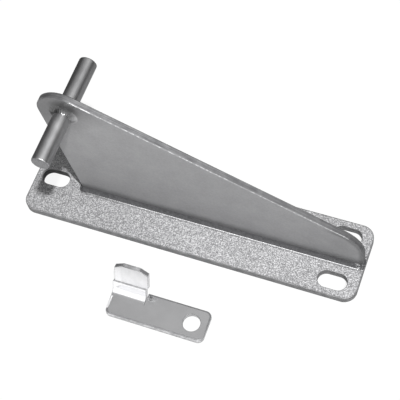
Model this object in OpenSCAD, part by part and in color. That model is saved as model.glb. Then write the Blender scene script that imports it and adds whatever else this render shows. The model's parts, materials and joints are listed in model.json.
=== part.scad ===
// Welded hinge bracket: a long slotted base plate, an upright tapering arm plate on its centreline,
// and a hinge pin through the arm's round tip. A loose retaining clip belongs to the set and lies
// in front of the bracket. All sizes are in millimetres. The origin is the centre of the base
// plate's underside, X runs along the base, Y along the hinge pin and Z up.

/* [Base plate] */
// Length of the base plate
base_l = 251.5; // [200:0.5:320]
// Width of the base plate
base_w = 58.5; // [52:0.5:90]
// Thickness of the base plate
base_t = 6.35; // [4:0.05:12]
// Radius of the base plate's corners
base_corner_r = 9.5; // [2:0.5:20]

/* [Fixing slots] */
// Width of each slot
slot_w = 12.8; // [8:0.1:14]
// Length of each slot, end to end
slot_l = 21; // [15:0.5:26]
// Centre of the left slot from the base's left end
slot_left_in = 15.5; // [14:0.5:20]
// Centre of the two right slots from the base's right end
slot_right_in = 18.5; // [14:0.5:40]
// Distance between the two right slots, centre to centre
slot_pitch = 36; // [32:0.5:38]

/* [Arm plate] */
// Thickness of the arm plate
arm_t = 4.75; // [3:0.05:8]
// Left end of the arm's foot from the base's left end
arm_foot_in = 38.6; // [32:0.1:60]
// Gap between the arm's upright end and the base's right end
arm_end_gap = 1.2; // [0.2:0.1:10]
// Height of the arm's low end above the base, before its corner is rounded
arm_end_h = 32.5; // [20:0.5:50]
// Radius of the rounded corner of the low end
arm_end_r = 25.4; // [5:0.1:40]
// Radius of the arm's round tip, which is concentric with the pin
tip_r = 19; // [15:0.5:26]

/* [Hinge pin] */
// Diameter of the hinge pin
pin_d = 12.7; // [8:0.1:16]
// Length of the hinge pin, half on each side of the arm
pin_l = 82.5; // [50:0.5:120]
// Pin axis from the base's left end
pin_in = 44; // [25:0.5:70]
// Height of the pin axis above the base's underside
pin_h = 109.5; // [80:0.5:150]
// Chamfer on each end of the pin
pin_chamfer = 0.8; // [0.3:0.1:2]
// Clearance round the pin in the arm's hole
pin_gap = 0.05; // [0.02:0.01:0.1]

/* [Weld beads] */
// Width of the foot weld on the base
foot_weld_w = 2.4; // [1.5:0.1:4]
// Height of the foot weld on the arm
foot_weld_h = 4; // [2:0.1:7]
// Hollow of the foot weld's face
foot_weld_hollow = 0.3; // [0.1:0.05:0.5]
// Width of the ring weld on the arm, out from the pin
pin_weld_w = 3.8; // [2:0.1:5]
// Height of the ring weld along the pin
pin_weld_h = 3; // [1.5:0.1:5]
// Swell of the ring weld's face
pin_weld_swell = 0.55; // [0.2:0.05:1]
// Depth of the ring weld's root, where it has fused into the pin
pin_weld_root = 0.5; // [0.2:0.1:1]

/* [Retaining clip] */
// Length of the clip
clip_l = 73; // [60:0.5:100]
// Width of the clip
clip_w = 23.6; // [22:0.1:40]
// Thickness of the clip's sheet
clip_t = 3.5; // [2:0.1:4.5]
// Radius of the clip's corners
clip_corner_r = 4.5; // [1:0.5:6]
// Diameter of the clip's hole
clip_hole_d = 12.5; // [8:0.1:14]
// Centre of the hole from the clip's right end
clip_hole_in = 11.7; // [10.5:0.1:20]
// Gap between the clip and the base as they lie side by side
clip_gap = 35.5; // [20:0.5:80]
// Left end of the clip from the base's left end
clip_in = 89; // [40:0.5:130]

/* [Clip tongue] */
// Width of the tongue
tongue_w = 25; // [15:0.5:32]
// Angle of the tongue above the clip
tongue_angle = 72; // [60:1:88]
// Inside radius of the bend
bend_r = 6; // [3:0.5:8]
// Straight length of the tongue above the bend, up to the step
tongue_low = 5; // [2:0.5:10]
// Length of the tongue above the step
tongue_high = 16; // [10:0.5:30]
// Set-back of the tongue at the step
tongue_step = 0.8; // [0.3:0.1:1.5]
// Length of the slope that makes the step
tongue_slope = 1; // [0.5:0.1:3]
// Sideways set of the tongue at the step
tongue_shift = 1.2; // [0:0.1:2]
// Length of each cut corner at the tongue's end
tongue_cut_l = 6.3; // [2:0.1:7]
// Depth of each cut corner at the tongue's end
tongue_cut_h = 3; // [1:0.1:6]
// Width of the relief cut beside the bend
relief_w = 0.8; // [0.5:0.1:2]

/* [Hidden] */
$fn = 96;

// Overlap of cutting tools past the faces that they cut
cut = 1;
// Steps along a weld's face
weld_steps = 8;
// How far the tongue's lower and upper stretches run into each other
tongue_lap = 0.5;

x_left = -base_l / 2;
x_right = base_l / 2;

// Corners of the arm, in the upright plane of X and Z
foot_left = [x_left + arm_foot_in, base_t];
foot_right = [x_right - arm_end_gap, base_t];
end_corner = [x_right - arm_end_gap, base_t + arm_end_h];
pin_axis = [x_left + pin_in, pin_h];

// Direction from point p of the line that touches the circle at c on one side
function tangent_dir(p, c, r, side) =
    atan2(c.y - p.y, c.x - p.x) + side * asin(r / norm(c - p));

// Point where the line from p at angle a meets the line from q at angle b
function crossing(p, a, q, b) =
    p + [cos(a), sin(a)] * ((q.x - p.x) * sin(b) - (q.y - p.y) * cos(b)) / sin(b - a);

// The arm's two long edges touch the round tip, and would meet at a sharp corner beyond it
left_dir = tangent_dir(foot_left, pin_axis, tip_r, 1);
top_dir = tangent_dir(end_corner, pin_axis, tip_r, -1);
tip_corner = crossing(foot_left, left_dir, end_corner, top_dir);

// The low end's rounded corner, no larger than the upright edge leaves room for
end_half_angle = acos(-sin(top_dir)) / 2;
end_r = min(arm_end_r, 0.9 * arm_end_h * tan(end_half_angle));
end_run = end_r / tan(end_half_angle);
end_centre = end_corner - [end_r, end_run];

// Section of a weld, w wide and h high, whose face swells out by bulge, or in if it is negative
function weld_section(w, h, bulge) =
    let (chord = norm([w, h]), out = [h, w] / chord)
    concat([[0, 0]], [for (i = [0 : weld_steps])
        let (s = i / weld_steps) [w * (1 - s), h * s] + 4 * bulge * s * (1 - s) * out]);

clip_left = x_left + clip_in;
clip_far = -base_w / 2 - clip_gap;
// Where the sheet starts to bend: the back of an upright tongue would be flush with the far edge
bend_start = clip_far - bend_r - clip_t;
bend_centre = [bend_start, clip_t + bend_r];
tongue_dir = [cos(tongue_angle), sin(tongue_angle)];
tongue_back = [sin(tongue_angle), -cos(tongue_angle)];

module rounded_bar(l, w, r) {
    square([l - 2 * r, w], center = true);
    square([l, w - 2 * r], center = true);
    for (x = [-1, 1], y = [-1, 1])
        translate([x * (l / 2 - r), y * (w / 2 - r)]) circle(r = r);
}

module slot(l, w) {
    square([l - w, w], center = true);
    for (x = [-1, 1])
        translate([x * (l - w) / 2, 0]) circle(d = w);
}

module slot_places() {
    translate([x_left + slot_left_in, 0]) children();
    for (y = [-1, 1])
        translate([x_right - slot_right_in, y * slot_pitch / 2]) children();
}

module base_plate() {
    color("#bcbdbf")
    linear_extrude(base_t)
    difference() {
        rounded_bar(base_l, base_w, base_corner_r);
        slot_places() slot(slot_l, slot_w);
    }
}

// What a corner loses when it is rounded to radius r about c: the kite between the centre, the
// corner and the normals at angles a and b, less the circle. It reaches past the plate's edges
module corner_waste(c, r, corner, a, b) {
    translate(c)
    difference() {
        polygon([[0, 0], 2 * r * [cos(a), sin(a)], 2 * (corner - c), 2 * r * [cos(b), sin(b)]]);
        circle(r = r);
    }
}

module arm_outline() {
    difference() {
        polygon([foot_left, tip_corner, end_corner, foot_right]);
        corner_waste(pin_axis, tip_r, tip_corner, left_dir + 90, top_dir - 90);
        corner_waste(end_centre, end_r, end_corner, top_dir - 90, 0);
    }
}

module arm_plate() {
    color("#8f9092")
    rotate([90, 0, 0])
    linear_extrude(arm_t, center = true)
    difference() {
        arm_outline();
        translate(pin_axis) circle(d = pin_d + 2 * pin_gap);
    }
}

module on_pin_axis() {
    translate([pin_axis.x, 0, pin_axis.y]) rotate([90, 0, 0]) children();
}

module hinge_pin() {
    r = pin_d / 2;
    half = pin_l / 2;
    color("#9a9b9d")
    on_pin_axis()
    rotate_extrude()
    difference() {
        polygon([[0, -half], [r - pin_chamfer, -half], [r, pin_chamfer - half],
                 [r, half - pin_chamfer], [r - pin_chamfer, half], [0, half]]);
        // Seat of each ring weld's root
        for (side = [0, 1])
            mirror([0, side])
            translate([r - pin_weld_root, arm_t / 2])
                square([pin_weld_root + cut, pin_weld_h + pin_gap]);
    }
}

// Ring weld between the arm's near face and the pin, with its root in the pin
module pin_weld() {
    face = weld_section(pin_weld_w, pin_weld_h, pin_weld_swell);
    color("#8a8b8d")
    on_pin_axis()
    translate([0, 0, arm_t / 2])
    rotate_extrude()
    translate([pin_d / 2 + pin_gap, 0])
    polygon(concat([[-pin_weld_root, 0]], [for (i = [1 : len(face) - 1]) face[i]],
                   [[-pin_weld_root, pin_weld_h]]));
}

// One end of the foot weld: round the arm's corner and half way across its end
module foot_weld_end(x, turn) {
    section = weld_section(foot_weld_w, foot_weld_h, -foot_weld_hollow);
    translate([x, -arm_t / 2, base_t])
    rotate([0, 0, turn > 0 ? -90 : 180])
    rotate_extrude(angle = 90) polygon(section);
    translate([x, 0, base_t])
    rotate([90, 0, 0])
    linear_extrude(arm_t / 2)
    polygon([for (p = section) [turn * p.x, p.y]]);
}

// Fillet weld along the near side of the arm's foot, carried round both of its ends
module foot_weld() {
    section = weld_section(foot_weld_w, foot_weld_h, -foot_weld_hollow);
    color("#78797b")
    difference() {
        intersection() {
            union() {
                translate([foot_left.x, -arm_t / 2, base_t])
                rotate([90, 0, 90])
                linear_extrude(foot_right.x - foot_left.x)
                polygon([for (p = section) [-p.x, p.y]]);
                foot_weld_end(foot_left.x, -1);
                foot_weld_end(foot_right.x, 1);
            }
            // The bead stops flush with the base's right end
            translate([x_left, -base_w / 2, base_t]) cube([base_l, base_w, 2 * foot_weld_h]);
        }
        // The arm's left edge leans out over the bead
        rotate([90, 0, 0]) linear_extrude(arm_t, center = true) arm_outline();
    }
}

// The flat bar, with its hole and the corner that the tongue is bent up from
module clip_bar() {
    translate([clip_left + clip_l / 2, clip_far - clip_w / 2])
    difference() {
        rounded_bar(clip_l, clip_w, clip_corner_r);
        translate([clip_l / 2 - clip_hole_in, 0]) circle(d = clip_hole_d);
        translate([-clip_l / 2 - cut, clip_w / 2 - bend_r - clip_t])
            square([tongue_w + relief_w + cut, bend_r + clip_t + cut]);
    }
}

// Side profile of the bend and of the tongue up past the step, in the plane of Y and Z
module tongue_low_profile() {
    reach = 2 * (bend_r + clip_t);
    foot = bend_centre + bend_r * tongue_back;
    translate([bend_start - clip_t, 0]) square([clip_t, clip_t]);
    intersection() {
        translate(bend_centre)
        difference() {
            circle(r = bend_r + clip_t);
            circle(r = bend_r);
        }
        polygon([bend_centre, bend_centre - [0, reach], bend_centre + reach * [1, -1],
                 bend_centre + reach * tongue_back]);
    }
    polygon([for (p = [[0, -tongue_lap], [0, tongue_low], [tongue_step, tongue_low + tongue_slope],
                       [tongue_step, tongue_low + tongue_slope + tongue_lap],
                       [tongue_step + clip_t, tongue_low + tongue_slope + tongue_lap],
                       [tongue_step + clip_t, tongue_low + tongue_slope],
                       [clip_t, tongue_low], [clip_t, -tongue_lap]])
             foot + p.x * tongue_back + p.y * tongue_dir]);
}

// Front view of the tongue above the step, with its two cut corners
module tongue_high_outline() {
    polygon([[0, 0], [tongue_w, 0], [tongue_w, tongue_high - tongue_cut_h],
             [tongue_w - tongue_cut_l, tongue_high], [tongue_cut_l, tongue_high],
             [0, tongue_high - tongue_cut_h]]);
}

module retaining_clip() {
    step = bend_centre + (bend_r + tongue_step) * tongue_back
         + (tongue_low + tongue_slope) * tongue_dir;
    color("#c4c5c7") {
        linear_extrude(clip_t) clip_bar();
        translate([clip_left, 0, 0])
        rotate([90, 0, 90])
        linear_extrude(tongue_w) tongue_low_profile();
        translate([clip_left + tongue_shift, step.x, step.y])
        rotate([tongue_angle, 0, 0])
        translate([0, 0, -clip_t])
        linear_extrude(clip_t) tongue_high_outline();
    }
}

base_plate();
arm_plate();
hinge_pin();
foot_weld();  // foot_weld_near
mirror([0, 1, 0]) foot_weld();  // foot_weld_far
pin_weld();  // pin_weld_near
mirror([0, 1, 0]) pin_weld();  // pin_weld_far
retaining_clip();
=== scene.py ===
"""Welded hinge bracket with its loose retaining clip, modelled piece by piece over the frame."""

import json
from math import asin, atan2, cos, hypot, pi, radians, sin, sqrt

import bmesh
import bpy
from bpy.props import FloatProperty, FloatVectorProperty, PointerProperty
from mathutils import Matrix, Vector, noise


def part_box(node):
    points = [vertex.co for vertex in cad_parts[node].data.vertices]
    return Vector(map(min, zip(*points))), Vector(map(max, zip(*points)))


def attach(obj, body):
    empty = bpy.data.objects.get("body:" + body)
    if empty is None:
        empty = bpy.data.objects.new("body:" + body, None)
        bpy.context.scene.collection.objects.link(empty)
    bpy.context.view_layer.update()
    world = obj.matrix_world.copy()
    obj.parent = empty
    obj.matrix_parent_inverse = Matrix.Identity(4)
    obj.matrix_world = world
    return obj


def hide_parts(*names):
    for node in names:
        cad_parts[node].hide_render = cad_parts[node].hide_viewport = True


bl_info = {
    "name": "Welded Hinge Bracket",
    "version": (1, 0, 0),
    "blender": (4, 5, 0),
    "location": "View3D > Sidebar > Hinge",
    "description": "Builds a welded hinge bracket and its loose retaining clip",
    "category": "Add Mesh",
}

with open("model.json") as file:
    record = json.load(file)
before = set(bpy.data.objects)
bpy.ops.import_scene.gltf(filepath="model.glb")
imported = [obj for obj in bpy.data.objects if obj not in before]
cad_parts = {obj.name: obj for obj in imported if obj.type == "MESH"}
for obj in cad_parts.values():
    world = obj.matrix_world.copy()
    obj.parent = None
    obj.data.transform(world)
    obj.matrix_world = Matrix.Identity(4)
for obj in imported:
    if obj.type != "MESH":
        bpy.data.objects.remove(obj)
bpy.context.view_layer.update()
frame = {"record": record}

MM = 0.001
X, Y, Z = Vector((1, 0, 0)), Vector((0, 1, 0)), Vector((0, 0, 1))
base_low, base_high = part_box("base_plate")
arm_low, arm_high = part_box("arm_plate")
pin_low, pin_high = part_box("hinge_pin")
clip_low, clip_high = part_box("retaining_clip")
pin_centre = (pin_low + pin_high) / 2
pin_radius = (pin_high.x - pin_low.x) / 2
mounts = {mount["name"]: Vector(mount["pos_m"]) for mount in frame["record"]["mounts"]}

# Corners closer than SAME_SPOT are one, and TOUCH is the slack of a test on where a face lies
SAME_SPOT = 0.001 * MM
TOUCH = 0.01 * MM
# Edges that turn by more than this stay hard, and are rounded where nothing else is said
HARD_EDGE = radians(38)
# Nearly all values of a noise lie between these two
NOISE_RANGE = (0.3, 0.7)
# Straight pieces in the outline of a hole, and in a round corner of a plate
HOLE_STEPS, CORNER_STEPS = 48, 16


def length(name, description, default):
    """A size in metres, shown in the scene's length unit."""
    return FloatProperty(name=name, description=description, default=default, min=0.0, max=1.0,
                         subtype="DISTANCE", unit="LENGTH", precision=5)


def grey(name, description, level, blue):
    """A grey of steel, whose blue is given apart because it is a little stronger."""
    return FloatVectorProperty(name=name, description=description, default=(level, level, blue),
                               size=3, min=0.0, max=1.0, subtype="COLOR")


def strength(name, description, default, high=4.0):
    return FloatProperty(name=name, description=description, default=default, min=0.0, max=high,
                         subtype="FACTOR")


def direction(name, description, default):
    return FloatVectorProperty(name=name, description=description, default=default,
                               subtype="DIRECTION")


def sines(name, description, default):
    """Where a light begins and ends in the room, as two sines."""
    return FloatVectorProperty(name=name, description=description, default=default, size=2)


class BasePlateSizes(bpy.types.PropertyGroup):
    corner_radius: length("Corner radius", "Radius of the plate's four corners", 9.5 * MM)
    slot_length: length("Slot length", "Length of each fixing slot, end to end", 21 * MM)
    slot_width: length("Slot width", "Width of each fixing slot", 12.8 * MM)
    edge_break: length("Edge break", "Width of the rounded edges", 0.45 * MM)


class ArmPlateSizes(bpy.types.PropertyGroup):
    tip_radius: length("Tip radius", "Radius of the round tip about the pin", 19 * MM)
    end_height: length("End height", "Height of the low end above the base, before rounding",
                       32.5 * MM)
    end_radius: length("End radius", "Radius of the low end's corner", 25.4 * MM)
    foot_left: FloatProperty(name="Foot start", description="Where the foot starts along the base",
                             default=base_low.x + 38.6 * MM, subtype="DISTANCE", unit="LENGTH")
    edge_break: length("Edge break", "Width of the rounded edges", 0.5 * MM)


class PinSizes(bpy.types.PropertyGroup):
    end_round: length("End rounding", "Rounding of both ends of the pin", 1.0 * MM)


class WeldSizes(bpy.types.PropertyGroup):
    foot_width: length("Foot bead width", "Width of the foot bead on the base", 2.4 * MM)
    foot_height: length("Foot bead height", "Height of the foot bead on the arm", 4 * MM)
    foot_hollow: length("Foot bead hollow", "Hollow of the foot bead's face", 0.3 * MM)
    foot_lip: length("Foot bead lip", "Width of the roll along the foot bead's toe", 0.5 * MM)
    ring_width: length("Ring bead width", "Width of the ring bead on the arm", 3.8 * MM)
    ring_height: length("Ring bead height", "Height of the ring bead along the pin", 3 * MM)
    ring_hollow: length("Ring bead hollow", "Hollow of the ring bead's face", 0.75 * MM)
    ripple_pitch: length("Ripple pitch", "Distance between the ripples of a bead", 1.7 * MM)
    ripple_height: length("Ripple height", "Height of the ripples of a bead", 0.06 * MM)
    wander: length("Wander", "Depth of a bead's slow swellings", 0.16 * MM)
    lumps: length("Lumps", "Depth of the lumps at the foot bead's right end", 0.45 * MM)


class ClipSizes(bpy.types.PropertyGroup):
    width: length("Bar width", "Width of the flat bar", 23.6 * MM)
    sheet: length("Sheet thickness", "Thickness of the sheet", 3.5 * MM)
    corner_radius: length("Corner radius", "Radius of the flat bar's corners", 4.5 * MM)
    hole_diameter: length("Hole diameter", "Diameter of the hole", 12.5 * MM)
    tongue_width: length("Tongue width", "Width of the upright tongue", 25 * MM)
    tongue_angle: FloatProperty(name="Tongue angle", description="Angle of tongue above the bar",
                                default=radians(72), min=0.0, max=pi, subtype="ANGLE")
    bend_radius: length("Bend radius", "Inside radius of the bend", 6 * MM)
    tongue_low: length("Lower stretch", "Straight length between the bend and the step", 5 * MM)
    tongue_slope: length("Slope", "Length of the slope that makes the step", 1 * MM)
    tongue_high: length("Upper stretch", "Length of the tongue above the step", 16 * MM)
    step_back: length("Step back", "Set-back of the tongue at the step", 0.8 * MM)
    step_side: length("Step aside", "Sideways set of the tongue at the step", 1.2 * MM)
    cut_length: length("Cut corner length", "Length of each cut corner", 6.3 * MM)
    cut_depth: length("Cut corner depth", "Depth of each cut corner", 3 * MM)
    relief: length("Relief cut", "Width of the relief cut beside the bend", 0.25 * MM)
    shoulder: length("Shoulder", "Rounding of the bar's upper near and left edges", 1.8 * MM)
    rim: length("Rim", "Rounding of the bar's upper far and right edges", 1.4 * MM)
    edge_break: length("Edge break", "Width of the rounded edges", 0.35 * MM)


class SteelFinishes(bpy.types.PropertyGroup):
    base_dark: grey("Base, hollows", "Grainy top of the base plate, in its hollows", 0.16, 0.165)
    base_light: grey("Base, grains", "Grainy top of the base plate, on its grains", 0.60, 0.61)
    edge_dark: grey("Cut edges, dark", "Cut edges of the plates, dark streaks", 0.15, 0.155)
    edge_light: grey("Cut edges, light", "Cut edges of the plates, light streaks", 0.29, 0.295)
    arm_dark: grey("Arm, dark", "Rolled faces of the arm, dark patches", 0.24, 0.245)
    arm_light: grey("Arm, light", "Rolled faces of the arm, light patches", 0.28, 0.285)
    saw_dark: grey("Arm edge, dark", "Edge of the arm, dark streaks", 0.13, 0.135)
    saw_light: grey("Arm edge, light", "Edge of the arm, light streaks", 0.27, 0.275)
    # Bare steel and painted highlight along the arm's near upper edge
    worn_highlight: grey("Worn edges", "Bare bright steel along the arm's edges", 0.53, 0.54)
    pin_dark: grey("Pin, dark", "Drawn steel of the pin, dark streaks", 0.40, 0.405)
    pin_light: grey("Pin, light", "Drawn steel of the pin, light streaks", 0.48, 0.485)
    end_dark: grey("Pin ends, dark", "Cut ends of the pin, dark streaks", 0.11, 0.115)
    end_light: grey("Pin ends, light", "Cut ends of the pin, light streaks", 0.18, 0.185)
    bead_dark: grey("Foot bead", "Dark face of the foot beads", 0.062, 0.065)
    bead_light: grey("Foot bead toe", "Bright toe of the foot beads", 0.85, 0.86)
    ring_dark: grey("Ring bead, dark", "Hollows of the ring beads", 0.28, 0.285)
    ring_light: grey("Ring bead, light", "Crests of the ring beads", 0.42, 0.425)
    clip_dark: grey("Clip, dark", "Plated sheet of the clip, dull patches", 0.69, 0.70)
    clip_light: grey("Clip, light", "Plated sheet of the clip, clear patches", 0.72, 0.73)
    shear_dark: grey("Clip edge, dark", "Sheared edge of the clip, dark streaks", 0.235, 0.24)
    shear_light: grey("Clip edge, light", "Sheared edge of the clip, light streaks", 0.52, 0.53)
    # Pale grey of the clip's left edge and the sides of its tongue
    pale: grey("Clip edge, rubbed", "Rubbed left edge of the clip and sides of its tongue",
                 0.85, 0.86)
    # Painted shade and dark reflection along the clip's rounded edges and its crease
    crease: grey("Clip crease", "Burr along the clip's edges and its crease", 0.16, 0.165)


class StudioSettings(bpy.types.PropertyGroup):
    camera_place: FloatVectorProperty(name="Camera", description="Place of the camera",
                                      default=(0.19913, -0.34035, 0.74831), subtype="TRANSLATION",
                                      unit="LENGTH")
    camera_back: direction("Camera back", "Direction the camera backs to",
                           (0.237388, -0.418626, 0.876584))
    camera_up: direction("Camera up", "Direction of the picture's top",
                         (-0.260174, 0.842012, 0.472573))
    camera_lens: FloatProperty(name="Lens", description="Focal length for a 36 mm wide picture",
                               default=105.35, subtype="DISTANCE_CAMERA", unit="CAMERA")
    key_from: direction("Key light", "Direction the key light comes from", (0.32, -0.26, 1.0))
    key_power: FloatProperty(name="Key power", description="Strength of the key light", default=3.9,
                             min=0.0)
    key_spread: FloatProperty(name="Key spread", description="Apparent size of the key light",
                              default=radians(2.2), subtype="ANGLE")
    room_glow: strength("Room", "Brightness of the dark room", 0.06)
    top_glow: strength("Overhead light", "Brightness of the long soft light overhead", 0.10)
    top_shine: strength("Overhead light shine", "What shiny faces see of the overhead light on top",
                        0.72)
    top_left: sines("Overhead light, left",
                    "Where the overhead light begins on the left, and where it is full",
                    (-0.90, 0.25))
    top_right: sines("Overhead light, right",
                     "Where the overhead light ends being full on the right, and where it is gone",
                     (0.36, 1.05))
    front_from: direction("Front light", "Direction of the front light", (0.24, -0.84, 0.48))
    front_glow: strength("Front light glow", "Brightness of the front light", 0.32)
    front_shine: strength("Front light shine", "What shiny faces see of the front light on top",
                          1.2)
    floor_white: strength("Floor", "Whiteness of the floor", 0.9, 1.0)
    floor_glow: strength("Floor glow", "How much of the floor is seen as plain white", 0.9, 1.0)
    floor_shine: strength("Floor shine", "Brightness of the floor in shiny faces", 0.42)
    front_card: strength("Front card", "Brightness of the card before the clip, in shiny faces",
                         1.55)
    dark_card: strength("Dark card", "Brightness of the dark card at the left, in shiny faces",
                        0.08)


class HingeBracketSettings(bpy.types.PropertyGroup):
    base: PointerProperty(type=BasePlateSizes)
    arm: PointerProperty(type=ArmPlateSizes)
    pin: PointerProperty(type=PinSizes)
    weld: PointerProperty(type=WeldSizes)
    clip: PointerProperty(type=ClipSizes)
    steel: PointerProperty(type=SteelFinishes)
    studio: PointerProperty(type=StudioSettings)


def settings(context):
    return context.scene.hinge_bracket


# Outlines and solids

def line_to(bm, start, place):
    end = bm.verts.new(place)
    bm.edges.new((start, end))
    return end


def closed_line(bm, places):
    """Draws an outline through a list of places and back to the first."""
    first = last = bm.verts.new(places[0])
    for place in places[1:]:
        last = line_to(bm, last, place)
    bm.edges.new((last, first))


def turned(bm, section, centre, axis, angle, steps):
    """Sweeps a section round an axis and returns its far end."""
    return bmesh.ops.spin(bm, geom=section, cent=centre, axis=axis, angle=angle,
                          steps=steps)["geom_last"]


def carried(bm, section, step, steps):
    """Sweeps a section straight on, step by step, and returns its far end."""
    return bmesh.ops.spin(bm, geom=section, cent=(0, 0, 0), axis=Z, angle=0, dvec=step,
                          steps=steps)["geom_last"]


def arc_from(bm, start, centre, axis, angle, steps):
    """Carries a vertex round a centre and returns the last vertex of the arc."""
    return next(item for item in turned(bm, [start], centre, axis, angle, steps)
                if isinstance(item, bmesh.types.BMVert))


def rounded_rectangle(bm, x, y, z, size_x, size_y, radius):
    """Outline of a rectangle with round corners, flat in X and Y."""
    place = Matrix.Translation((x, y, z)) @ Matrix.Diagonal((size_x, size_y, 1, 1))
    made = bmesh.ops.create_grid(bm, x_segments=1, y_segments=1, size=0.5, matrix=place)
    bmesh.ops.bevel(bm, geom=made["verts"], offset=radius, offset_type="OFFSET", affect="VERTICES",
                    segments=CORNER_STEPS, profile=0.5, material=-1)


def merge(bm):
    bmesh.ops.remove_doubles(bm, verts=bm.verts, dist=SAME_SPOT)


def face_outwards(bm):
    bmesh.ops.recalc_face_normals(bm, faces=bm.faces[:])
    bm.normal_update()


def keep_outlines(bm):
    """Leaves the edges of flat faces and drops the faces."""
    merge(bm)
    bmesh.ops.delete(bm, geom=bm.faces[:], context="FACES_ONLY")


def fill_outlines(bm, normal):
    """Fills the outer outline and leaves the inner ones open as holes."""
    bmesh.ops.triangle_fill(bm, use_beauty=True, use_dissolve=False, edges=bm.edges[:],
                            normal=normal)


def join_flat_faces(bm):
    bmesh.ops.dissolve_limit(bm, angle_limit=radians(0.5), use_dissolve_boundaries=False,
                             verts=bm.verts[:], edges=bm.edges[:], delimit={"NORMAL"})


def thicken(bm, move):
    """Turns a flat face into a plate."""
    join_flat_faces(bm)
    made = bmesh.ops.extrude_face_region(bm, geom=bm.faces[:])
    verts = [item for item in made["geom"] if isinstance(item, bmesh.types.BMVert)]
    bmesh.ops.translate(bm, verts=verts, vec=move)
    face_outwards(bm)


def revolve(bm, steps):
    """Turns an outline once round the pin's axis, into a closed solid."""
    bmesh.ops.spin(bm, geom=bm.verts[:] + bm.edges[:], cent=pin_centre, axis=Y, angle=2 * pi,
                   steps=steps, use_merge=True)
    merge(bm)
    face_outwards(bm)


def middle_of(edge):
    return (edge.verts[0].co + edge.verts[1].co) / 2


def round_edges(bm, width, segments=3, sharper_than=HARD_EDGE, slot=1, only=None):
    """Rounds the sharp edges, or those of them that a test picks out, and returns the new faces."""
    edges = [edge for edge in bm.edges
             if len(edge.link_faces) == 2 and edge.calc_face_angle(0.0) > sharper_than
             and (only is None or only(edge))]
    faces = bmesh.ops.bevel(bm, geom=edges, offset=width, offset_type="OFFSET", affect="EDGES",
                            segments=segments, profile=0.5, material=-1,
                            clamp_overlap=False)["faces"]
    for face in faces:
        face.material_index = slot
    return faces


def finish_piece(bm, node, finishes, body="bracket", flat_faces=True):
    """Makes the object, dresses it and lets it stand for its CAD node."""
    name = node + "_dressed"
    mesh = bpy.data.meshes.new(name)
    bm.to_mesh(mesh)
    bm.free()
    for finish in finishes:
        mesh.materials.append(finish)
    mesh.shade_smooth()
    mesh.set_sharp_from_angle(angle=HARD_EDGE)
    piece = bpy.data.objects.new(name, mesh)
    bpy.context.collection.objects.link(piece)
    if flat_faces:
        weighted = piece.modifiers.new("Flat faces", "WEIGHTED_NORMAL")
        weighted.keep_sharp = True
        weighted.weight = 100
    if not mesh.polygons:
        raise RuntimeError(f"{name} came out empty")
    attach(piece, body)
    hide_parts(node)


# Finishes

class Nodes:
    """The nodes of one material or of the world. Each method adds a node or two."""

    def __init__(self, owner):
        owner.use_nodes = True
        self.tree = owner.node_tree
        self.tree.nodes.clear()

    def add(self, kind, inputs=None, **options):
        node = self.tree.nodes.new("ShaderNode" + kind)
        for name, value in options.items():
            setattr(node, name, value)
        for socket, value in (inputs or {}).items():
            if isinstance(value, bpy.types.NodeSocket):
                self.tree.links.new(value, node.inputs[socket])
            else:
                node.inputs[socket].default_value = value
        return node

    def math(self, operation, first, second=0.0):
        return self.add("Math", {0: first, 1: second}, operation=operation).outputs[0]

    def plus(self, first, second):
        return self.math("ADD", first, second)

    def minus(self, first, second):
        return self.math("SUBTRACT", first, second)

    def times(self, first, second):
        return self.math("MULTIPLY", first, second)

    def vector(self, operation, first, second=(0.0, 0.0, 0.0), output="Vector"):
        return self.add("VectorMath", {0: first, 1: second}, operation=operation).outputs[output]

    def split(self, place):
        return self.add("SeparateXYZ", {"Vector": place}).outputs

    def spread(self, value, low, high, to_low=0.0, to_high=1.0, smooth=False):
        """Maps the range from low to high onto another, and holds it at both ends."""
        return self.add("MapRange", {"Value": value, "From Min": low, "From Max": high,
                                     "To Min": to_low, "To Max": to_high},
                        interpolation_type="SMOOTHSTEP" if smooth else "LINEAR").outputs[0]

    def mix(self, factor, first, second):
        return self.add("Mix", {0: factor, 2: first, 3: second}, data_type="FLOAT").outputs[0]

    def mix_colours(self, factor, first, second, kind="MIX"):
        first, second = (value if isinstance(value, bpy.types.NodeSocket) else (*value, 1.0)
                         for value in (first, second))
        return self.add("Mix", {0: factor, 6: first, 7: second}, data_type="RGBA",
                        blend_type=kind).outputs[2]

    def darken(self, tone, factor):
        """Multiplies a colour by a factor that varies over the surface."""
        shade = self.add("CombineColor", {"Red": factor, "Green": factor, "Blue": factor})
        return self.mix_colours(1.0, tone, shade.outputs["Color"], "MULTIPLY")


class Finish(Nodes):
    """A material with one Principled BSDF, patterned by the piece's own coordinates."""

    def __init__(self, name, metallic):
        self.material = bpy.data.materials.new(name)
        super().__init__(self.material)
        self.shader = self.add("BsdfPrincipled", {"Metallic": metallic})
        self.add("OutputMaterial", {"Surface": self.shader.outputs["BSDF"]})
        self.place = self.add("TexCoord").outputs["Object"]
        self.x, self.y, self.z = self.split(self.place)

    def cloud(self, scale, detail=3.0, rough=0.55, stretch=None):
        """Noise from 0 to 1, whose scale is in features per metre."""
        place = self.place
        if stretch is not None:
            place = self.add("Mapping", {"Vector": place, "Scale": stretch}).outputs["Vector"]
        return self.add("TexNoise", {"Vector": place, "Scale": scale, "Detail": detail,
                                     "Roughness": rough}).outputs["Fac"]

    def reach(self, across, up):
        """Distance from a point, from the distances along two axes."""
        spot = self.add("CombineXYZ", {"X": across, "Y": up}).outputs["Vector"]
        return self.vector("LENGTH", spot, output="Value")

    def vary(self, socket, value):
        self.tree.links.new(value, self.shader.inputs[socket])

    def done(self, tone, roughness, relief, depth, strength):
        """Joins colour, roughness and relief to the shader and returns the material."""
        raised = self.add("Bump", {"Height": relief, "Distance": depth, "Strength": strength})
        self.vary("Base Color", tone)
        self.vary("Roughness", roughness)
        self.vary("Normal", raised.outputs["Normal"])
        return self.material


def dimmed(colour, factor):
    return [part * factor for part in colour]


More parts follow.
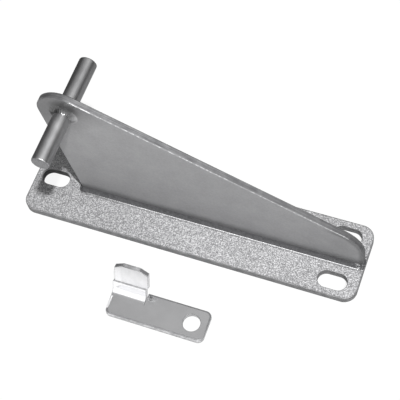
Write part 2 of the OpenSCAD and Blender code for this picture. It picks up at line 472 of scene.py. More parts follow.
def grainy_steel(steel, toe, corner):
    """Silvery steel with a fine pebbled grain, with painted shade beside the foot beads' toes,
    darker at its rim.
    """
    look = Finish("grainy_steel", 0.35)
    fine = look.cloud(1700, 2.0, 0.6)
    ridges = look.math("ABSOLUTE", look.minus(look.cloud(880, 2.0, 0.5), 0.5))
    relief = look.plus(look.times(fine, 0.6), look.times(ridges, 2.4))
    tone = look.mix_colours(look.spread(relief, 0.30, 0.62), steel.base_dark, steel.base_light)
    drift = look.spread(look.cloud(22), *NOISE_RANGE, 0.92, 1.05)
    # Painted shade: a darker line along both toes, in the crease beside the beads, from just before
    # the foot on
    off = look.math("ABSOLUTE", look.minus(look.math("ABSOLUTE", look.y), toe + 1.0 * MM))
    toe_shade = look.spread(off, 0.2 * MM, 0.9 * MM, 0.62, 1.0, True)
    foot = look.spread(look.x, base_low.x + 35 * MM, base_low.x + 39 * MM)
    drift = look.times(drift, look.mix(foot, 1.0, toe_shade))
    # The rim follows the outline with its round corners
    past = look.vector("SUBTRACT", look.vector("ABSOLUTE", look.place),
                       (base_high.x - corner, base_high.y - corner, 1.0))
    past = look.vector("LENGTH", look.vector("MAXIMUM", past), output="Value")
    drift = look.times(drift, look.spread(past, corner - 0.9 * MM, corner - 0.5 * MM, 1.0, 0.45))
    # Darker towards the left end
    drift = look.times(drift, look.spread(look.x, base_low.x + 20 * MM, base_low.x + 90 * MM,
                                          0.87, 1.0))
    return look.done(look.darken(tone, drift), look.spread(fine, *NOISE_RANGE, 0.62, 0.42),
                     relief, 0.3 * MM, 0.6)


def cut_edge(name, dark, light, stretch, metallic=0.45, fades=()):
    """Darker cut edge of a plate, with streaks along the cut, that may fade along its axes."""
    look = Finish(name, metallic)
    streaks = look.cloud(900, 3.0, 0.6, stretch)
    mixed = look.plus(look.times(streaks, 0.6), look.times(look.cloud(160), 0.4))
    tone = look.mix_colours(look.spread(mixed, 0.38, 0.62), dark, light)
    for axis, *fade in fades:
        tone = look.darken(tone, look.spread(getattr(look, axis), *fade))
    return look.done(tone, look.spread(streaks, *NOISE_RANGE, 0.6, 0.42), streaks, 0.2 * MM, 0.35)


def tip_darkening(look, uneven):
    """Darkening over the arm's tip, deepest in a patch above the pin."""
    off_x, off_z = look.minus(look.x, pin_centre.x), look.minus(look.z, pin_centre.z)
    along = look.minus(off_x, look.times(off_z, 1.08))
    tip = look.spread(look.plus(along, uneven), -5 * MM, 30 * MM, 0.56, 1.0)
    reach = look.reach(look.times(look.minus(off_x, 2 * MM), 0.78), look.minus(off_z, 8.5 * MM))
    patch_above = look.spread(look.plus(reach, uneven), 4.5 * MM, 10.5 * MM, 0.46, 1.0, True)
    return look.times(tip, patch_above)


def rolled_steel(steel, weld_top, end_centre, end_radius):
    """Smooth grey steel of the arm's faces, darker just above the foot beads and over the tip."""
    look = Finish("rolled_steel", 0.3)
    fine = look.cloud(700, 3.0, 0.6)
    mixed = look.plus(look.times(look.cloud(60, 4.0), 0.7), look.times(fine, 0.3))
    tone = look.mix_colours(look.spread(mixed, 0.35, 0.65), steel.arm_dark, steel.arm_light)
    uneven = look.times(look.minus(look.cloud(130), 0.5), 3.0 * MM)
    near_foot = look.spread(look.plus(look.z, uneven), weld_top - 1.0 * MM, weld_top + 9.0 * MM,
                            0.52, 1.0, True)
    # A darker band goes round the low end
    reach = look.reach(look.math("MAXIMUM", look.minus(look.x, end_centre.x)),
                       look.math("MAXIMUM", look.minus(look.z, end_centre.y)))
    end_band = look.spread(look.plus(reach, look.times(uneven, 0.4)), end_radius - 4.5 * MM,
                         end_radius - 1.5 * MM, 1.0, 0.60, True)
    at_end = look.spread(look.x, end_centre.x - 4 * MM, end_centre.x + 6 * MM)
    darker_by = look.times(look.times(near_foot, tip_darkening(look, uneven)), look.mix(at_end, 1.0, end_band))
    return look.done(look.darken(tone, darker_by), look.spread(fine, *NOISE_RANGE, 0.56, 0.44),
                     fine, 0.08 * MM, 0.35)


def worn_edge_and_highlight(steel, start, end):
    """Bare bright steel along the arm's long edge, broken up by duller stretches; its bright colour
    is in part a painted highlight, strongest near the pin.
    """
    look = Finish("worn_edge_and_highlight", 0.9)
    breaks = look.plus(look.cloud(430, 3.0, 0.6), look.spread(look.x, start, end, 0.02, -0.06))
    # Painted highlight: over the first stretch from the pin the edge is brighter and less broken
    highlight_end = start + 35 * MM
    breaks = look.plus(breaks, look.spread(look.x, start, highlight_end, 0.08, 0.0))
    bare = look.spread(breaks, 0.47, 0.66)
    tone = look.mix_colours(bare, steel.saw_light, steel.worn_highlight)
    tone = look.darken(tone, look.spread(look.x, start, highlight_end, 1.55, 1.0))
    look.vary("Metallic", look.mix(bare, 0.25, 0.9))
    return look.done(tone, look.mix(bare, 0.62, 0.34), look.cloud(1200, 2.0), 0.06 * MM, 0.3)


def drawn_steel(steel):
    """Drawn round bar of the pin, with faint streaks along it."""
    look = Finish("drawn_steel", 0.95)
    streaks = look.cloud(1300, 3.0, 0.6, (1.0, 0.06, 1.0))
    stains = look.cloud(110, 3.0, 0.5)
    mixed = look.plus(look.times(streaks, 0.45), look.times(stains, 0.55))
    tone = look.mix_colours(look.spread(mixed, 0.38, 0.62), steel.pin_dark, steel.pin_light)
    tone = look.darken(tone, look.spread(look.y, 0.0, pin_high.y, 1.0, 0.80))
    return look.done(tone, look.spread(stains, *NOISE_RANGE, 0.30, 0.38), streaks, 0.02 * MM, 0.25)


def bead_metal(name, dark, light, metallic, roughness, coarse, darker_tip=False, spatter=None,
               fades=()):
    """Weld metal with a crust, dark in its hollows, darker above the pin or spattered at an end."""
    look = Finish(name, metallic)
    crust = look.cloud(coarse, 4.0, 0.65)
    tone = look.mix_colours(look.spread(crust, 0.35, 0.65), dark, light)
    if darker_tip:
        tone = look.darken(tone, tip_darkening(look, look.times(look.minus(crust, 0.5), 2.0 * MM)))
    if spatter is not None:
        start, bright = spatter
        specks = look.times(look.spread(look.cloud(620, 2.0), 0.56, 0.62),
                            look.spread(look.x, start, start + 5 * MM, 0.0, 0.8))
        tone = look.mix_colours(specks, tone, bright)
    for fade in fades:
        tone = look.darken(tone, look.spread(look.x, *fade))
    rough = look.spread(crust, *NOISE_RANGE, roughness + 0.08, roughness - 0.08)
    return look.done(tone, rough, crust, 0.2 * MM, 0.4)


def plated_sheet(steel, name="plated_sheet", fade=None):
    """Bright plated sheet of the clip, faintly clouded, that may darken towards its top as painted
    shade.
    """
    look = Finish(name, 1.0)
    fine = look.cloud(900, 3.0, 0.6, (0.25, 1.0, 1.0))
    tone = look.mix_colours(look.spread(look.cloud(90, 4.0), 0.35, 0.65), steel.clip_dark,
                            steel.clip_light)
    # Painted shade: darker towards the top, with streaks along it
    if fade is not None:
        streaks = look.spread(look.cloud(260, 3.0, 0.5, (1.0, 0.3, 0.3)), 0.35, 0.65, 0.95, 1.05)
        tone = look.darken(tone, look.times(streaks, look.spread(look.z, *fade)))
    return look.done(tone, look.spread(fine, *NOISE_RANGE, 0.22, 0.15), fine, 0.015 * MM, 0.2)


# Pieces

class HINGE_OT_base_plate(bpy.types.Operator):
    """Add the slotted base plate"""
    bl_idname = "hinge.base_plate"
    bl_label = "Base Plate"

    def execute(self, context):
        size, steel = settings(context).base, settings(context).steel
        flat, edge, shaded_slot_wall = range(3)
        bm = bmesh.new()
        middle, across = (base_low + base_high) / 2, base_high - base_low
        rounded_rectangle(bm, middle.x, middle.y, base_low.z, across.x, across.y,
                          size.corner_radius)
        for name in ("slot_left", "slot_right_near", "slot_right_far"):
            rounded_rectangle(bm, mounts[name].x, mounts[name].y, base_low.z, size.slot_length,
                              size.slot_width, size.slot_width / 2)
        keep_outlines(bm)
        fill_outlines(bm, Z)
        thicken(bm, Z * across.z)
        # The wall of the left slot takes a near-black copy of the cut edge: a painted shadow of the
        # pin, which falls across it
        slot, slack = mounts["slot_left"], 0.1 * MM
        for face in bm.faces:
            off = face.calc_center_median() - slot
            in_slot = (abs(off.x) < size.slot_length / 2 + slack
                       and abs(off.y) < size.slot_width / 2 + slack)
            face.material_index = (flat if abs(face.normal.z) > 0.5 else
                                   shaded_slot_wall if in_slot else edge)
        round_edges(bm, size.edge_break, slot=edge)
        toe = arm_high.y + settings(context).weld.foot_width
        sawn = (0.3, 0.3, 1.6)
        finish_piece(bm, "base_plate",
                     (grainy_steel(steel, toe, size.corner_radius),
                      cut_edge("base_cut_edge", steel.edge_dark, steel.edge_light, sawn),
                      # Painted shadow: the left slot's wall, far darker than the other cut edges
                      cut_edge("slot_painted_shadow", dimmed(steel.edge_dark, 0.2),
                               dimmed(steel.edge_light, 0.3), sawn)))
        return {"FINISHED"}


def arm_shape(size):
    """Places and angles of the arm's outline, in X and Z: foot, tip and low end."""
    foot_left = Vector((size.foot_left, base_high.z))
    corner = Vector((arm_high.x, base_high.z + size.end_height))
    tip = pin_centre.xz

    def touching(point, side):
        away = tip - point
        return atan2(away.y, away.x) + side * asin(size.tip_radius / away.length)

    left, top = touching(foot_left, 1), touching(corner, -1)
    reach = sqrt((tip - foot_left).length_squared - size.tip_radius ** 2)
    touch_left = foot_left + reach * Vector((cos(left), sin(left)))
    half = (top - pi / 2) / 2
    run = size.end_radius * sin(half) / cos(half)
    end_top = corner + run * Vector((cos(top), sin(top)))
    end_centre = Vector((corner.x - size.end_radius, corner.y - run))
    return foot_left, touch_left, end_top, end_centre, left, top


class HINGE_OT_arm_plate(bpy.types.Operator):
    """Add the upright tapering arm plate"""
    bl_idname = "hinge.arm_plate"
    bl_label = "Arm Plate"

    def execute(self, context):
        size, steel = settings(context).arm, settings(context).steel
        flat, edge, worn_highlight, shaded_far_edge = range(4)
        foot_left, touch_left, end_top, end_centre, left, top = arm_shape(size)

        def on_face(place):
            return Vector((place.x, arm_low.y, place.y))

        bm = bmesh.new()
        tip = on_face(pin_centre.xz)
        first = bm.verts.new(on_face(foot_left))
        last = line_to(bm, first, on_face(touch_left))
        last = arc_from(bm, last, tip, Y, left + pi - top, 40)
        last = line_to(bm, last, on_face(end_top))
        last = arc_from(bm, last, on_face(end_centre), Y, top - pi / 2, 24)
        last = line_to(bm, last, on_face(Vector((arm_high.x, base_high.z))))
        bm.edges.new((last, first))
        bmesh.ops.create_circle(bm, segments=HOLE_STEPS, radius=pin_radius + 0.05 * MM,
                                matrix=Matrix.Translation(tip) @ Matrix.Rotation(pi / 2, 4, "X"))
        merge(bm)
        fill_outlines(bm, -Y)
        thicken(bm, Y * (arm_high.y - arm_low.y))
        for face in bm.faces:
            face.material_index = flat if abs(face.normal.y) > 0.5 else edge

        def is_outer(side):
            """Any edge but those of the hole."""
            return (middle_of(side) - pin_centre).xz.length > size.tip_radius / 2

        touch_top = pin_centre.x + size.tip_radius * sin(top)
        # The near upper edge takes the worn steel with its painted highlight
        for face in round_edges(bm, size.edge_break, 1, slot=edge, only=is_outer):
            middle = face.calc_center_median()
            if middle.y > 0:
                face.material_index = shaded_far_edge
            elif face.normal.z > 0.3 and touch_top < middle.x < end_top.x + 4 * MM:
                face.material_index = worn_highlight
        weld_top = base_high.z + settings(context).weld.foot_height
        sawn = (0.05, 1.6, 0.05)
        fades = (("x", pin_centre.x, end_top.x, 1.20, 0.68),
                 ("x", pin_centre.x + 3 * MM, pin_centre.x + 9 * MM, 0.62, 1.0))
        finish_piece(bm, "arm_plate",
                     (rolled_steel(steel, weld_top, end_centre, size.end_radius),
                      cut_edge("arm_cut_edge", steel.saw_dark, steel.saw_light, sawn, fades=fades),
                      worn_edge_and_highlight(steel, pin_centre.x, end_top.x),
                      # Painted shade: the far edges take the cut edge at half its brightness
                      cut_edge("arm_far_edge_painted_shade", dimmed(steel.saw_dark, 0.5),
                               dimmed(steel.saw_light, 0.5), sawn)))
        return {"FINISHED"}


class HINGE_OT_hinge_pin(bpy.types.Operator):
    """Add the hinge pin across the arm's tip"""
    bl_idname = "hinge.hinge_pin"
    bl_label = "Hinge Pin"

    def execute(self, context):
        size, steel = settings(context).pin, settings(context).steel
        bar, cut_end = range(2)
        rim = pin_high.x - size.end_round
        bm = bmesh.new()
        # Half the pin's outline, from the axis at its near end to the axis at its far end
        last = bm.verts.new((pin_centre.x, pin_low.y, pin_centre.z))
        last = line_to(bm, last, (rim, pin_low.y, pin_centre.z))
        last = arc_from(bm, last, (rim, pin_low.y + size.end_round, pin_centre.z), Z, pi / 2, 6)
        last = line_to(bm, last, (pin_high.x, pin_high.y - size.end_round, pin_centre.z))
        last = arc_from(bm, last, (rim, pin_high.y - size.end_round, pin_centre.z), Z, pi / 2, 6)
        line_to(bm, last, (pin_centre.x, pin_high.y, pin_centre.z))
        revolve(bm, 96)
        for face in bm.faces:
            face.material_index = cut_end if abs(face.normal.y) > 0.45 else bar
        finish_piece(bm, "hinge_pin",
                     (drawn_steel(steel),
                      cut_edge("pin_cut_end", steel.end_dark, steel.end_light, (0.7, 1.0, 1.0),
                               0.3)))
        return {"FINISHED"}


def bead_face(width, height, swell, steps):
    """Points across a bead's face, from its toe to the wall: how far out, how far up."""
    chord = hypot(width, height)
    return [(width * (1 - s) + 4 * swell * s * (1 - s) * height / chord,
             height * s + 4 * swell * s * (1 - s) * width / chord)
            for s in (i / steps for i in range(steps + 1))]


def ripple(bm, along, across, size, seed, messy_from=None):
    """Pushes a bead's face in and out in crescents; the end of a foot bead is lumpier."""
    wander_scale, lump_scale, lump_start = 160, 650, 5 * MM
    for vert in bm.verts:
        s, t = along(vert.co), across(vert.co)
        if t is None:
            continue
        wave = sin(2 * pi * (s / size.ripple_pitch + 0.35 * (t - 0.5) ** 2 * 4))
        wander = noise.noise(Vector((s * wander_scale + seed, t, seed)))
        vert.co += vert.normal * (size.ripple_height * wave + size.wander * wander)
        if messy_from is not None:
            mess = min(1.0, max(0.0, (vert.co.x - messy_from) / lump_start))
            vert.co += vert.normal * (size.lumps * mess * noise.noise(vert.co * lump_scale))


def foot_bead_section(size):
    """Closed outline of a foot bead, how far out and how far up, sunk into arm and base."""
    roll = [(size.foot_width + size.foot_lip * (0.35 + 0.75 * cos(angle)),
             size.foot_lip * 1.1 * sin(angle))
            for angle in (0.0, pi * 0.25, pi * 0.5, pi * 0.72)]
    profile = bead_face(size.foot_width, size.foot_height, -size.foot_hollow, 8)
    in_arm, in_base = -0.4 * MM, -0.05 * MM
    return roll + profile[1:] + [(in_arm, size.foot_height), (in_arm, in_base),
                                 (size.foot_width + size.foot_lip, in_base)]


class HINGE_OT_foot_welds(bpy.types.Operator):
    """Add the fillet beads along both sides of the arm's foot"""
    bl_idname = "hinge.foot_welds"
    bl_label = "Foot Welds"

    def execute(self, context):
        size, steel = settings(context).weld, settings(context).steel
        left, right, floor = settings(context).arm.foot_left, arm_high.x, base_high.z
        bead_slot, toe_slot = range(2)
        bead = bead_metal("foot_bead", steel.bead_dark, dimmed(steel.bead_dark, 1.6), 0.4, 0.5, 500,
                          spatter=(right - 8 * MM, dimmed(steel.bead_light, 0.75)))
        toe = bead_metal("foot_bead_toe", dimmed(steel.bead_light, 0.6), steel.bead_light, 0.9,
                         0.25, 420, fades=((left, left + 50 * MM, 0.35, 1.0),
                                           (right - 6 * MM, right, 1.0, 0.40)))

        def across(place):
            up = place.z - floor
            on_face = 0.3 * MM <= up <= size.foot_height - 0.2 * MM
            return up / size.foot_height if on_face else None

        for side, label in ((-1, "near"), (1, "far")):
            bm = bmesh.new()
            wall = side * arm_high.y
            closed_line(bm, [(left - out, 0.0, floor + up) for out, up in foot_bead_section(size)])
            section = bm.verts[:] + bm.edges[:]
            # Across the left end, round its corner, along the foot and round the right end
            section = carried(bm, section, Y * (wall / 4), 4)
            section = turned(bm, section, (left, wall, 0), Z, -side * pi / 2, 8)
            steps = int((right - left) / (0.45 * MM))
            section = carried(bm, section, X * ((right - left) / steps), steps)
            section = turned(bm, section, (right, wall, 0), Z, -side * pi / 2, 8)
            carried(bm, section, Y * (-wall / 4), 4)
            merge(bm)
            bmesh.ops.holes_fill(bm, edges=[e for e in bm.edges if e.is_boundary], sides=0)
            face_outwards(bm)
            ripple(bm, lambda place: place.x, across, size, 3.0 + side, right - 9 * MM)
            for vert in bm.verts:
                vert.co.x = min(vert.co.x, base_high.x - 0.02 * MM)
            for face in bm.faces:
                middle = face.calc_center_median()
                out = max(abs(middle.y) - arm_high.y, left - middle.x, middle.x - right)
                face.material_index = (toe_slot if out > size.foot_width - 0.05 * MM
                                       and middle.x > left + 3 * MM else bead_slot)
            finish_piece(bm, f"foot_weld_{label}", (bead, toe),
                         flat_faces=False)
        return {"FINISHED"}


class HINGE_OT_pin_welds(bpy.types.Operator):
    """Add the ring beads round the pin on both faces of the arm"""
    bl_idname = "hinge.pin_welds"
    bl_label = "Pin Welds"

    def execute(self, context):
        size, steel = settings(context).weld, settings(context).steel
        # The ring beads darken towards the pin's left side: painted shade beside the pin
        metal = bead_metal("ring_bead", steel.ring_dark, steel.ring_light, 0.8, 0.3, 300,
                           darker_tip=True, fades=((pin_centre.x - 9 * MM, pin_centre.x - 2 * MM,
                                                0.4, 1.0),))
        sunk = -0.3 * MM
        face = bead_face(size.ring_width, size.ring_height, -size.ring_hollow, 10)
        section = [(sunk, 0.0), *face, (sunk, size.ring_height)]

        def along(place):
            off = place - pin_centre
            return atan2(off.z, off.x) * (pin_radius + size.ring_width / 2)

        def across(place):
            out = (place - pin_centre).xz.length - pin_radius
            on_face = 0.1 * MM <= out <= size.ring_width - 0.1 * MM
            return out / size.ring_width if on_face else None

        for side, label in ((-1, "near"), (1, "far")):
            bm = bmesh.new()
            closed_line(bm, [(pin_centre.x + pin_radius + out, side * (arm_high.y + up),
                              pin_centre.z) for out, up in section])
            revolve(bm, 120)
            ripple(bm, along, across, size, 7.0 + side)
            finish_piece(bm, f"pin_weld_{label}", (metal,), flat_faces=False)
        return {"FINISHED"}


# Finishes of the clip, in the order of its material slots
PLATED, SHEARED, EDGE_SHADE, TONGUE_SHADE, PALE_EDGE = range(5)
# Edges of the clip that turn by more than this are rounded
CLIP_CORNER = radians(50)


class ClipPlaces:
    """Lines of the clip that its drawing and its tests share, from its box and its sizes."""

    def __init__(self, size):
        self.left, self.right, self.near = clip_low.x, clip_high.x, clip_low.y
        self.far = self.near + size.width
        self.top = clip_low.z + size.sheet
        self.bend = self.far - size.bend_radius - size.sheet
        self.above_bend = self.top + 2 * size.bend_radius
        self.tongue_right = self.left + size.tongue_width
        self.notch = self.tongue_right + size.relief
        self.corner = size.corner_radius
        self.up = Vector((0, cos(size.tongue_angle), sin(size.tongue_angle)))
        self.back = Vector((0, sin(size.tongue_angle), -cos(size.tongue_angle)))


def carry_on(bm, edge, move):
    """Draws an edge out into a face and returns its far edge."""
    made = bmesh.ops.extrude_edge_only(bm, edges=[edge])["geom"]
    verts = [item for item in made if isinstance(item, bmesh.types.BMVert)]
    bmesh.ops.translate(bm, verts=verts, vec=move)
    return next(item for item in made if isinstance(item, bmesh.types.BMEdge)
                and all(vert in verts for vert in item.verts))


def draw_clip(bm, size, at):
    """Draws the clip's upper face: the flat bar with its hole, and the tongue bent up from it."""

    def go(start, x, y):
        return line_to(bm, start, (x, y, at.top))

    def turn(start, x, y):
        return arc_from(bm, start, (x, y, at.top), Z, pi / 2, 10)

    # The flat bar seen from above, whose far left edge is the tongue's foot
    inner_right, inner_near = at.right - at.corner, at.near + at.corner
    first = bm.verts.new((at.left, at.bend, at.top))
    last = turn(go(first, at.left, inner_near), at.left + at.corner, inner_near)
    last = turn(go(last, inner_right, at.near), inner_right, inner_near)
    last = turn(go(last, at.right, at.far - at.corner), inner_right, at.far - at.corner)
    last = go(go(last, at.notch, at.far), at.notch, at.bend)
    last = go(last, at.tongue_right, at.bend)
    bm.edges.new((last, first))
    hole = Vector((mounts["clip_hole"].x, mounts["clip_hole"].y, at.top))
    bmesh.ops.create_circle(bm, segments=HOLE_STEPS, radius=size.hole_diameter / 2,
                            matrix=Matrix.Translation(hole))
    fill_outlines(bm, Z)
    foot = next(edge for edge in bm.edges
                if all(abs(vert.co.y - at.bend) < SAME_SPOT
                       and vert.co.x < at.tongue_right + SAME_SPOT for vert in edge.verts))
    bent = turned(bm, [foot, *foot.verts], (0, at.bend, at.top + size.bend_radius), X,
                  size.tongue_angle, 12)
    edge = next(item for item in bent if isinstance(item, bmesh.types.BMEdge))
    for move in (at.up * size.tongue_low,
                 at.up * size.tongue_slope + at.back * size.step_back + X * size.step_side,
                 at.up * (size.tongue_high - size.cut_depth), at.up * size.cut_depth):
        edge = carry_on(bm, edge, move)
    for vert in edge.verts:
        inward = X if vert.co.x < at.left + size.tongue_width / 2 else -X
        vert.co += inward * size.cut_length
    bmesh.ops.recalc_face_normals(bm, faces=bm.faces[:])
    if max(bm.faces, key=lambda face: face.calc_area()).normal.z < 0:
        bmesh.ops.reverse_faces(bm, faces=bm.faces[:])


def with_thickness(bm, thickness, context):
    """Gives a sheet its thickness below its upper face, and returns it as a new solid."""
    sheet = bpy.data.meshes.new("clip_sheet")
    bm.to_mesh(sheet)
    bm.free()
    draft = bpy.data.objects.new("clip_sheet", sheet)
    context.collection.objects.link(draft)
    solid = draft.modifiers.new("Thickness", "SOLIDIFY")
    solid.thickness = thickness
    solid.offset = -1.0
    solid.use_even_offset = True
    context.view_layer.update()
    shaped = draft.evaluated_get(context.evaluated_depsgraph_get())
    thick = bpy.data.meshes.new_from_object(shaped)
    bpy.data.objects.remove(draft)
    bpy.data.meshes.remove(sheet)
    bm = bmesh.new()
    bm.from_mesh(thick)
    bpy.data.meshes.remove(thick)
    merge(bm)
    bm.normal_update()
    return bm


def clip_slot(face, size, at):
    """The finish of a face of the clip, from where it lies and how it faces."""
    height, normal = face.calc_center_median().z, face.normal
    aside, high = abs(normal.x), height > at.above_bend
    # The tongue's slanting edge breaks take the painted shade of the clip's edges
    if 0.2 < aside < 0.97 and normal.dot(at.up) > 0.2:
        return EDGE_SHADE
    if aside > 0.97 and height > at.top:
        return PALE_EDGE
    if height < at.top + TOUCH:
        cut = abs(normal.z) < 0.3
    else:
        cut = aside > 0.97 or (high and normal.dot(at.up) > 0.9)
    # Painted shade: the slope that makes the step across the tongue's front gets the dark colour of
    # a cut
    crease = (aside < 0.3 and 0.6 < abs(normal.z) < 0.95 and normal.y < 0
              and height > at.top + size.bend_radius * 0.9)
    return SHEARED if cut or crease else TONGUE_SHADE if high else PLATED


def round_clip(bm, size, at):
    """Rolls the flat bar's upper edges, breaks the other sharp edges and sorts the new faces."""

    def is_shoulder(edge):
        """An upper edge of the flat bar at its near side or its left end."""
        middle = middle_of(edge)
        return (abs(middle.z - at.top) < TOUCH and middle.y < at.bend - 1 * MM
                and (middle.y < at.near + 0.4 * at.corner
                     or middle.x < at.left + 0.6 * at.corner))

    def is_rim(edge):
        """An upper edge of the flat bar at its far side or its right end."""
        middle = middle_of(edge)
        return (abs(middle.z - at.top) < TOUCH and middle.y > at.near + at.corner
                and (middle.y > at.far - 0.9 * at.corner
                     or middle.x > at.right - 0.9 * at.corner))

    def is_open(edge):
        """Any edge but those of the narrow relief cut, which stay sharp."""
        return any(vert.co.z > at.top + TOUCH
                   or not at.tongue_right - TOUCH < vert.co.x < at.notch + TOUCH
                   for vert in edge.verts)

    join_flat_faces(bm)
    # The flat-topped faces of the near shoulder, the far and right rims and the small edge breaks
    # take the painted shade of the clip's edges
    for face in round_edges(bm, size.shoulder, 5, CLIP_CORNER, SHEARED, is_shoulder):
        beyond_corner = face.calc_center_median().y >= at.near + at.corner
        if face.normal.z > cos(radians(28)) and not beyond_corner:
            face.material_index = EDGE_SHADE
        elif face.normal.x < -0.2 and beyond_corner:
            face.material_index = PALE_EDGE
    round_edges(bm, size.rim, 4, CLIP_CORNER, EDGE_SHADE, is_rim)
    for face in round_edges(bm, size.edge_break, 3, CLIP_CORNER, EDGE_SHADE, is_open):
        if abs(face.normal.x) > 0.2 and face.calc_center_median().z > at.top + 1 * MM:
            face.material_index = SHEARED
    # Slivers where the roundings meet
    bmesh.ops.dissolve_degenerate(bm, dist=0.02 * MM, edges=bm.edges[:])


class HINGE_OT_retaining_clip(bpy.types.Operator):
    """Add the loose clip: a flat bar with a hole, and a stepped tongue bent up from it"""
    bl_idname = "hinge.retaining_clip"
    bl_label = "Retaining Clip"

    def execute(self, context):
        size, steel = settings(context).clip, settings(context).steel
        at = ClipPlaces(size)
        bm = bmesh.new()
        draw_clip(bm, size, at)
        bm = with_thickness(bm, size.sheet, context)
        for face in bm.faces:
            face.material_index = clip_slot(face, size, at)
        round_clip(bm, size, at)
        cut = (0.6, 0.6, 1.5)
        # Painted shade: the cut edges darken towards the floor over their lowest part
        shade_under = ("z", clip_low.z + 0.9 * MM, clip_low.z + 1.5 * MM, 0.5, 1.0)
        fade_along = ("x", at.left + 3 * MM, at.left + 20 * MM, 1.0, 0.68)
        finish_piece(bm, "retaining_clip",
                     (plated_sheet(steel),
                      cut_edge("clip_sheared_edge", steel.shear_dark, steel.shear_light, cut, 0.2,
                               (shade_under,)),
                      cut_edge("clip_edge_shade", steel.crease, steel.shear_dark, (1.0, 1.0, 1.0), 0.4),
                      # The tongue above the bend: plated sheet with painted shade, darker towards
                      # its top
                      plated_sheet(steel, "tongue_painted_shade",
                                   (at.above_bend, clip_high.z, 0.90, 0.66)),
                      cut_edge("clip_pale_edge", dimmed(steel.pale, 0.8), steel.pale, cut,
                               0.2, (fade_along,))), "clip")
        return {"FINISHED"}


# Stage

def add_floor(context, studio):
    """White floor; shiny faces see grey, a dark card at the left and a bright card in front."""
    bm = bmesh.new()
    bmesh.ops.create_grid(bm, x_segments=1, y_segments=1, size=3.0,
                          matrix=Matrix.Translation((0, 0, base_low.z - 0.05 * MM)))
    mesh = bpy.data.meshes.new("studio_floor")
    bm.to_mesh(mesh)
    bm.free()
    white = bpy.data.materials.new("studio_floor")
    paint = Nodes(white)
    level = studio.floor_white
    matt = paint.add("BsdfDiffuse", {"Color": (level, level, level, 1.0)})
    ray = paint.add("LightPath").outputs
    x, y, _ = paint.split(paint.add("TexCoord").outputs["Object"])
    shine = paint.spread(x, base_low.x - 30 * MM, base_low.x + 30 * MM, studio.dark_card,
                         studio.floor_shine, True)
    front = paint.spread(y, clip_high.y + 14 * MM, base_low.y - 4 * MM, 1.0, 0.0, True)
    shine = paint.mix(front, shine, studio.front_card)
    glow = paint.add("Emission", {"Color": (1, 1, 1, 1),
                                  "Strength": paint.mix(ray["Is Glossy Ray"], 1.0, shine)})
    plain = paint.math("MAXIMUM", ray["Is Glossy Ray"],
                       paint.times(ray["Is Camera Ray"], studio.floor_glow))
    mixed = paint.add("MixShader", {0: plain, 1: matt.outputs["BSDF"],
                                    2: glow.outputs["Emission"]})
    paint.add("OutputMaterial", {"Surface": mixed.outputs["Shader"]})
    mesh.materials.append(white)
    floor = bpy.data.objects.new("studio_floor", mesh)
    context.collection.objects.link(floor)


def add_key_light(context, studio):
    sun = bpy.data.lights.new("key_light", "SUN")
    sun.energy = studio.key_power
    sun.angle = studio.key_spread
    key = bpy.data.objects.new("key_light", sun)
    key.rotation_mode = "QUATERNION"
    key.rotation_quaternion = (-Vector(studio.key_from)).to_track_quat("-Z", "Y")
    context.collection.objects.link(key)


def add_room(context, studio):
    """Dark room with a long soft light overhead and one at the front, white to the camera."""
    world = bpy.data.worlds.new("studio_room")
    room = Nodes(world)
    toward = room.add("TexCoord").outputs["Generated"]
    x, _, z = room.split(toward)
    ray = room.add("LightPath").outputs
    above = room.times(room.spread(x, *studio.top_left),
                       room.spread(x, *studio.top_right, 1.0, 0.0))
    above = room.times(above, room.spread(z, 0.25, 0.6, smooth=True))
    above = room.times(above, room.plus(room.times(ray["Is Glossy Ray"], studio.top_shine),
                                        studio.top_glow))
    ahead = room.vector("DOT_PRODUCT", toward, Vector(studio.front_from).normalized(), "Value")
    front = room.plus(room.times(ray["Is Glossy Ray"], studio.front_shine), studio.front_glow)
    front = room.times(front, room.spread(ahead, 0.64, 0.80, smooth=True))
    level = room.plus(room.plus(above, front), studio.room_glow)
    level = room.mix(ray["Is Camera Ray"], level, 1.0)
    sky = room.add("Background", {"Color": (1, 1, 1, 1), "Strength": level})
    room.add("OutputWorld", {"Surface": sky.outputs["Background"]})
    context.scene.world = world


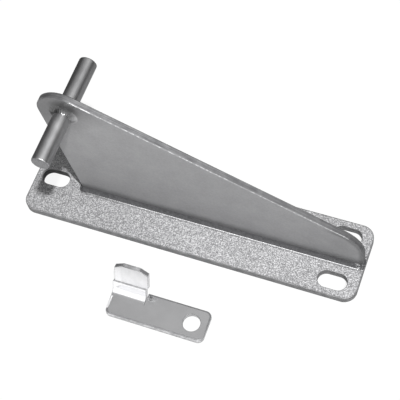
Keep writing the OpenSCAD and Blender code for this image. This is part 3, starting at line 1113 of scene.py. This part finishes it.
def add_camera(context, studio):
    lens = bpy.data.cameras.new("photo_view")
    lens.sensor_width = 36.0
    lens.lens = studio.camera_lens
    lens.clip_start, lens.clip_end = 0.01, 20.0
    camera = bpy.data.objects.new("photo_view", lens)
    back, up = Vector(studio.camera_back), Vector(studio.camera_up)
    turn = Matrix((up.cross(back), up, back)).transposed()
    camera.matrix_world = Matrix.Translation(studio.camera_place) @ turn.to_4x4()
    context.collection.objects.link(camera)
    context.scene.camera = camera


class HINGE_OT_stage(bpy.types.Operator):
    """Add the floor, the lights and the camera"""
    bl_idname = "hinge.stage"
    bl_label = "Stage"

    def execute(self, context):
        studio = settings(context).studio
        context.scene.view_settings.view_transform = "Standard"
        add_floor(context, studio)
        add_key_light(context, studio)
        add_room(context, studio)
        add_camera(context, studio)
        return {"FINISHED"}


class HINGE_PT_pieces(bpy.types.Panel):
    """Pieces of the hinge bracket, in the order in which they are made"""
    bl_idname = "HINGE_PT_pieces"
    bl_label = "Hinge Bracket"
    bl_space_type = "VIEW_3D"
    bl_region_type = "UI"
    bl_category = "Hinge"

    def draw(self, context):
        for operator in operators:
            self.layout.operator(operator.bl_idname)
        for label in HingeBracketSettings.__annotations__:
            group = getattr(settings(context), label)
            box = self.layout.box()
            for name in group.__annotations__:
                box.prop(group, name)


operators = (HINGE_OT_stage, HINGE_OT_base_plate, HINGE_OT_arm_plate, HINGE_OT_hinge_pin,
             HINGE_OT_foot_welds, HINGE_OT_pin_welds, HINGE_OT_retaining_clip)
classes = (BasePlateSizes, ArmPlateSizes, PinSizes, WeldSizes, ClipSizes, SteelFinishes,
           StudioSettings, HingeBracketSettings, *operators, HINGE_PT_pieces)


def register():
    for each in classes:
        bpy.utils.register_class(each)
    bpy.types.Scene.hinge_bracket = PointerProperty(type=HingeBracketSettings)


def unregister():
    del bpy.types.Scene.hinge_bracket
    for each in reversed(classes):
        bpy.utils.unregister_class(each)


def main():
    register()
    bpy.ops.hinge.stage()
    bpy.ops.hinge.base_plate()
    bpy.ops.hinge.arm_plate()
    bpy.ops.hinge.hinge_pin()
    bpy.ops.hinge.foot_welds()
    bpy.ops.hinge.pin_welds()
    bpy.ops.hinge.retaining_clip()


if __name__ == "__main__":
    main()
